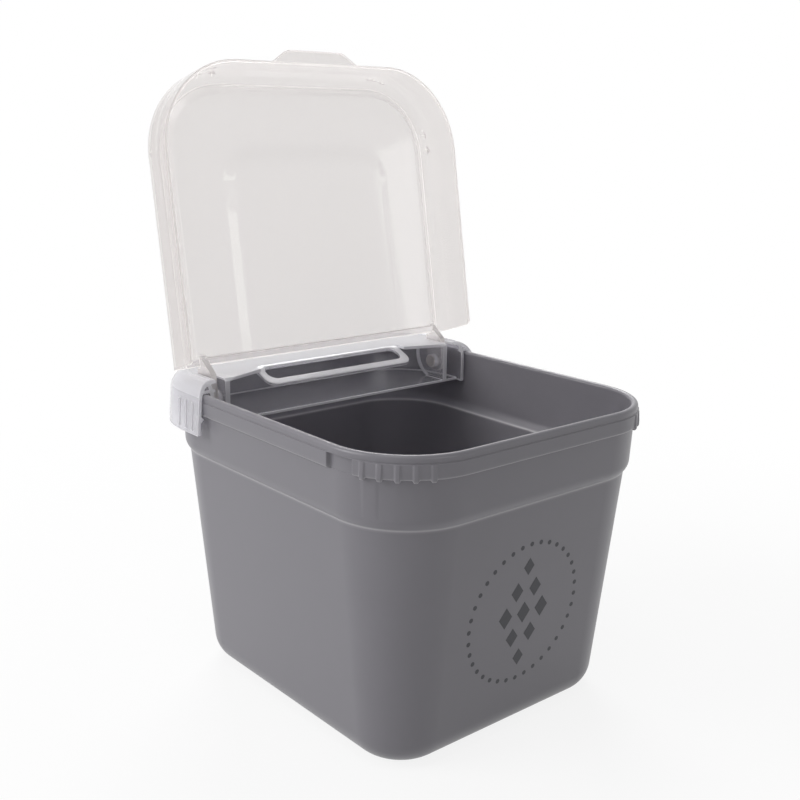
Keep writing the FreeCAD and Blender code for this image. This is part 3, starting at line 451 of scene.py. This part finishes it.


# the section at every place of the rim's path, with inset and height changed where a notch, a rib or a lug
# lies: point = anchor + (corner - inset) * normal; and how strongly a painted highlight lies on each point
def tubPoints(size):
    level = tubLevels(size)
    step, bandBottom = size["bandStep"], level["bandBottom"]
    section, highlightSpots = tubSection(size, level)
    anchor, normal, w, ribPlaces = rimPath(size, level["halfX"], level["halfY"])
    inset = np.repeat(section[None, :, 0], len(w), axis=0)
    height = np.repeat(section[None, :, 1], len(w), axis=0)
    along = w[:, None]
    outer = np.arange(len(section))[None] < np.argmax(section[:, 1])
    onBand = outer & (height > bandBottom - size["slack"]) & (height < size["bandTop"] + size["slack"])
    proud = np.where(onBand, np.clip((step - inset) / step, 0, 1), 0)

    pastStart = (along - size["notchFrom"]) / size["notchEdge"] + 0.5
    beforeEnd = (size["notchTo"] - along) / size["notchEdge"] + 0.5
    notch = smoothStep(pastStart) * smoothStep(beforeEnd)
    inset = inset + notch * proud * step

    # a rib's top is rounded like a quarter of an ellipse, and its foot hangs below the band
    reach = (along[..., None] - ribPlaces) / size["ribHalf"]
    rib = smoothStep((1 - np.abs(reach)) / size["ribEdge"]).sum(axis=-1)
    end = np.clip((size["bandTop"] - size["ribTopGap"] - height) / size["ribTopRound"], 0, 1)
    inset = inset - rib * size["ribProud"] * proud * np.sqrt(1 - (1 - end) ** 2)
    foot = np.clip((bandBottom + size["ribFoot"] - height) / size["ribFoot"], 0, 1)
    height = height - rib * size["ribDrop"] * np.sqrt(proud) * foot

    # the lug is a strip under the band with a round lower end
    centre = bandBottom - size["lugDepth"] + size["lugHalf"]
    aside = along - math.radians(size["lugAngle"]) * size["corner"]
    away = np.hypot(aside, np.minimum(height - centre, 0))
    onWall = outer & (height < bandBottom) & (height > size["shoulderHeight"])
    lug = size["lugProud"] * smoothStep((size["lugHalf"] - away) / size["lugEdge"])
    inset = inset - np.where(onWall, lug, 0)
    flat = anchor[:, None] + (size["corner"] - inset)[..., None] * normal[:, None]

    # painted highlight lines: strength * exp(-(distance from the point / reach) squared); the notch has no
    # band edge
    paintedHighlight = np.zeros(inset.shape)
    for name, spot in highlightSpots.items():
        strength = size[name] * (1 - notch) if name == "highlightBand" else size[name]
        far = np.hypot(section[:, 0] - spot[0], section[:, 1] - spot[1])[None]
        paintedHighlight = np.maximum(paintedHighlight, strength * np.exp(-(far / size["highlightReach"]) ** 2))
    return np.concatenate([flat, height[..., None]], axis=-1), paintedHighlight


# the painted highlight is stored on the points, for the grey material to read
tubGrid, tubHighlight = tubPoints(tubSize)
tubMesh = ringMesh("tub_shell", tubGrid)
tubMesh.attributes.new("paintedHighlight", "FLOAT", "POINT").data.foreach_set("value", tubHighlight.reshape(-1))
tub = addPiece("tub_shell", tubMesh, greyPolypropylene(greyFinish), "box", "tub")
keepFlat(tub)
print("tub:", len(tubMesh.polygons), "faces")

# print on the front: a lattice of lozenges inside a ring of dots, all sizes in mm
printSize = {
    "height": 46.5, "ringRadius": 25.5, "dots": 36, "dotRadius": 0.85, "dotCorners": 16,
    "rows": 5, "pitch": 8.6, "lozengeHalf": (3.1, 4.0), "shrink": 0.1, "proud": 0.05, "film": 0.07,
}


# (u, v) on the front wall: u along X, v up the drafted wall, which stands at y = inset(z) - half depth
def printMesh(size, wallSize):
    level = tubLevels(wallSize)
    turn = np.arange(size["dotCorners"]) / size["dotCorners"] * 2 * np.pi
    dot = size["dotRadius"] * np.stack([np.cos(turn), np.sin(turn)], axis=-1)
    place = np.arange(size["dots"]) / size["dots"] * 2 * np.pi
    ring = size["ringRadius"] * np.stack([np.cos(place), np.sin(place)], axis=-1)
    dots = ring[:, None] + dot
    middle = size["rows"] // 2
    row, column = np.meshgrid(np.arange(size["rows"]) - middle, np.arange(middle + 1), indexing="ij")
    count = middle + 1 - np.abs(row)
    used = column < count
    centre = np.stack([(column - (count - 1) / 2) * size["pitch"], row * size["pitch"]], axis=-1)[used]
    grow = (1 - size["shrink"] * np.abs(row))[used][:, None, None]
    lozenge = np.array([(1, 0), (0, 1), (-1, 0), (0, -1)]) * size["lozengeHalf"]
    lozenges = centre[:, None] + grow * lozenge
    flat = np.vstack([dots.reshape(-1, 2), lozenges.reshape(-1, 2)])
    z = size["height"] + flat[:, 1] * math.cos(math.atan(level["slant"]))
    inset = level["creaseIn"] + (wallSize["shoulderHeight"] - z) * level["slant"]
    points = np.stack([flat[:, 0], inset - level["halfY"] - size["proud"], z], axis=-1) * mm
    split = dots.shape[0] * dots.shape[1]
    faces = np.arange(split).reshape(dots.shape[:2]).tolist()
    faces += np.arange(split, len(flat)).reshape(-1, 4).tolist()
    mesh = bpy.data.meshes.new("front_print")
    mesh.from_pydata(points.tolist(), [], faces)
    return mesh


ink = addPiece("front_print", printMesh(printSize, tubSize), screenInk(inkFinish), "box")
film = ink.modifiers.new("film of ink", "SOLIDIFY")
film.thickness = printSize["film"] * mm
print("print:", len(ink.data.polygons), "marks")

# clear pieces: the CAD shape with its edges broken as a mould leaves them; mm, and degrees for the angles.
# Points that agree to so many decimals of a metre are joined; milk grows between the two depths
clearSize = {
    "joinDecimals": 7, "edge": 0.28, "edgeSteps": 3, "sharpFrom": 32.0, "smoothTo": 40.0,
    "ramp": 1.5, "rampSteps": 4, "rampFrom": 12.0, "rampFace": 3.0,
    "depth": (1.7, 5.0), "rayStart": 0.02,
    # milk painted on the bridge's outer and upward faces for light from behind and above: outer share, reach
    # in, top share, drop from the rim, least upward tilt
    "coverMilk": 0.47, "coverIn": 1.5, "topMilk": 0.9, "topDrop": 3.0, "topTilt": 0.3,
}


# one vector of each vertex or face, such as its place or normal, as the rows of an array
def vectorsOf(items, name):
    values = np.empty(len(items) * 3)
    items.foreach_get(name, values)
    return values.reshape(-1, 3)


# the node's loose triangles joined at their common points
def joinedTriangles(node, size):
    source = node.data
    places = np.round(vectorsOf(source.vertices, "co"), size["joinDecimals"])
    corners = np.empty(len(source.loops), int)
    source.loops.foreach_get("vertex_index", corners)
    spots, match = np.unique(places, axis=0, return_inverse=True)
    triangles = match.reshape(-1)[corners].reshape(-1, 3)
    return spots, triangles[(triangles != np.roll(triangles, 1, axis=1)).all(axis=1)]


# edges where two broad faces meet at a slight angle: the ends of every edge, and whether it is one of these.
# Bend = angle between the two normals, breadth = twice the smaller triangle's area / the edge's length
def rampEdges(spots, triangles, size):
    ends = np.sort(np.stack([triangles, np.roll(triangles, -1, axis=1)], axis=-1).reshape(-1, 2), axis=1)
    edges, owner = np.unique(ends, axis=0, return_inverse=True)
    faces = np.argsort(owner.reshape(-1), kind="stable").reshape(-1, 2) // 3
    corner = spots[triangles]
    cross = np.cross(corner[:, 1] - corner[:, 0], corner[:, 2] - corner[:, 0])
    area = np.linalg.norm(cross, axis=1)
    normal = cross / area[:, None]
    bend = np.degrees(np.arccos(np.clip((normal[faces[:, 0]] * normal[faces[:, 1]]).sum(axis=1), -1, 1)))
    length = np.linalg.norm(spots[edges[:, 0]] - spots[edges[:, 1]], axis=1)
    breadth = area[faces].min(axis=1) / length / mm
    return edges, (bend > size["rampFrom"]) & (bend < size["sharpFrom"]) & (breadth > size["rampFace"])


# the joined shape with its ramps' edges rounded broadly and its sharp edges broken; the second kind carries
# material number 1 until it is read
def softenedCopy(name, node, size):
    spots, triangles = joinedTriangles(node, size)
    rough = bpy.data.meshes.new(name)
    rough.from_pydata(spots.tolist(), [], triangles.tolist())
    rough.shade_smooth()
    edges, ramp = rampEdges(spots, triangles, size)
    ends = np.empty(len(rough.edges) * 2, int)
    rough.edges.foreach_get("vertices", ends)
    ends = np.sort(ends.reshape(-1, 2), axis=1) @ (len(spots), 1)
    weight = ramp[np.searchsorted(edges @ (len(spots), 1), ends)]
    rough.attributes.new("bevel_weight_edge", "FLOAT", "EDGE").data.foreach_set("value", weight.astype(float))
    rough.materials.append(None)
    rough.materials.append(None)
    bench = bpy.data.objects.new(name, rough)
    bpy.context.collection.objects.link(bench)
    for label, limit, width, steps, number in (("ramps", "WEIGHT", size["ramp"], size["rampSteps"], 0),
                                               ("broken edges", "ANGLE", size["edge"], size["edgeSteps"], 1)):
        bevel = bench.modifiers.new(label, "BEVEL")
        bevel.limit_method = limit
        bevel.angle_limit = math.radians(size["sharpFrom"])
        bevel.width = width * mm
        bevel.segments = steps
        bevel.material = number
        bevel.use_clamp_overlap = False
    mesh = bpy.data.meshes.new_from_object(bench.evaluated_get(bpy.context.evaluated_depsgraph_get()))
    bpy.data.objects.remove(bench)
    bpy.data.meshes.remove(rough)
    mesh.name = name
    mesh.set_sharp_from_angle(angle=math.radians(size["smoothTo"]))
    print(name + ":", int(ramp.sum()), "ramp edges")
    return mesh


# the bridge's faces outside the rim's rounded plan, and those on top, get extra milk as painted light: they
# are whiter where light falls from behind and above, though the plastic is the same as on the clearer faces
# inside.
# Way past the rim = length of (|place| - inner rectangle, not below 0) - corner radius
def paintedLightMilk(mesh, size, corner):
    centre = vectorsOf(mesh.polygons, "center") / mm
    upward = vectorsOf(mesh.polygons, "normal")[:, 2] > size["topTilt"]
    rim = np.array(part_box("tub")[1]) / mm
    past = np.linalg.norm(np.maximum(np.abs(centre[:, :2]) - (rim[:2] - corner), 0), axis=1) - corner
    onTop = upward & (centre[:, 2] > rim[2] - size["topDrop"])
    return np.maximum((past > -size["coverIn"]) * size["coverMilk"], onTop * size["topMilk"])


# milk is 1 on broken edges, and elsewhere grows with the depth of plastic straight in from the face, but is
# no less than the face's least
def storeMilk(mesh, size, least):
    tree = BVHTree.FromPolygons(vectorsOf(mesh.vertices, "co").tolist(),
                                [list(face.vertices) for face in mesh.polygons])
    start = size["rayStart"] * mm
    hits = [tree.ray_cast(face.center - face.normal * start, -face.normal)[3] for face in mesh.polygons]
    depth = np.array([hit or 0 for hit in hits]) / mm
    broken = np.empty(len(depth), int)
    mesh.polygons.foreach_get("material_index", broken)
    shallow, deep = size["depth"]
    milk = np.maximum(smoothStep((depth - shallow) / (deep - shallow)), np.maximum(broken, least))
    mesh.attributes.new("milk", "FLOAT", "FACE").data.foreach_set("value", milk)
    mesh.polygons.foreach_set("material_index", np.zeros(len(depth), int))
    mesh.materials.clear()


for node, body, name, finish in (
        ("hinge_bridge", "box", "milky natural polypropylene, bridge", bridgeFinish),
        ("flip_lid", "lid", "milky natural polypropylene, lid", lidFinish)):
    mesh = softenedCopy(node + "_shell", frame["nodes"][node], clearSize)
    # the bridge's outer and top faces keep at least their painted-light milk
    least = paintedLightMilk(mesh, clearSize, tubSize["corner"]) if node == "hinge_bridge" else 0
    storeMilk(mesh, clearSize, least)
    piece = addPiece(node + "_shell", mesh, naturalPolypropylene(name, finish), body, node)
    keepFlat(piece)
    print(node + ":", len(mesh.polygons), "faces")

bpy.context.scene.view_settings.view_transform = "Standard"
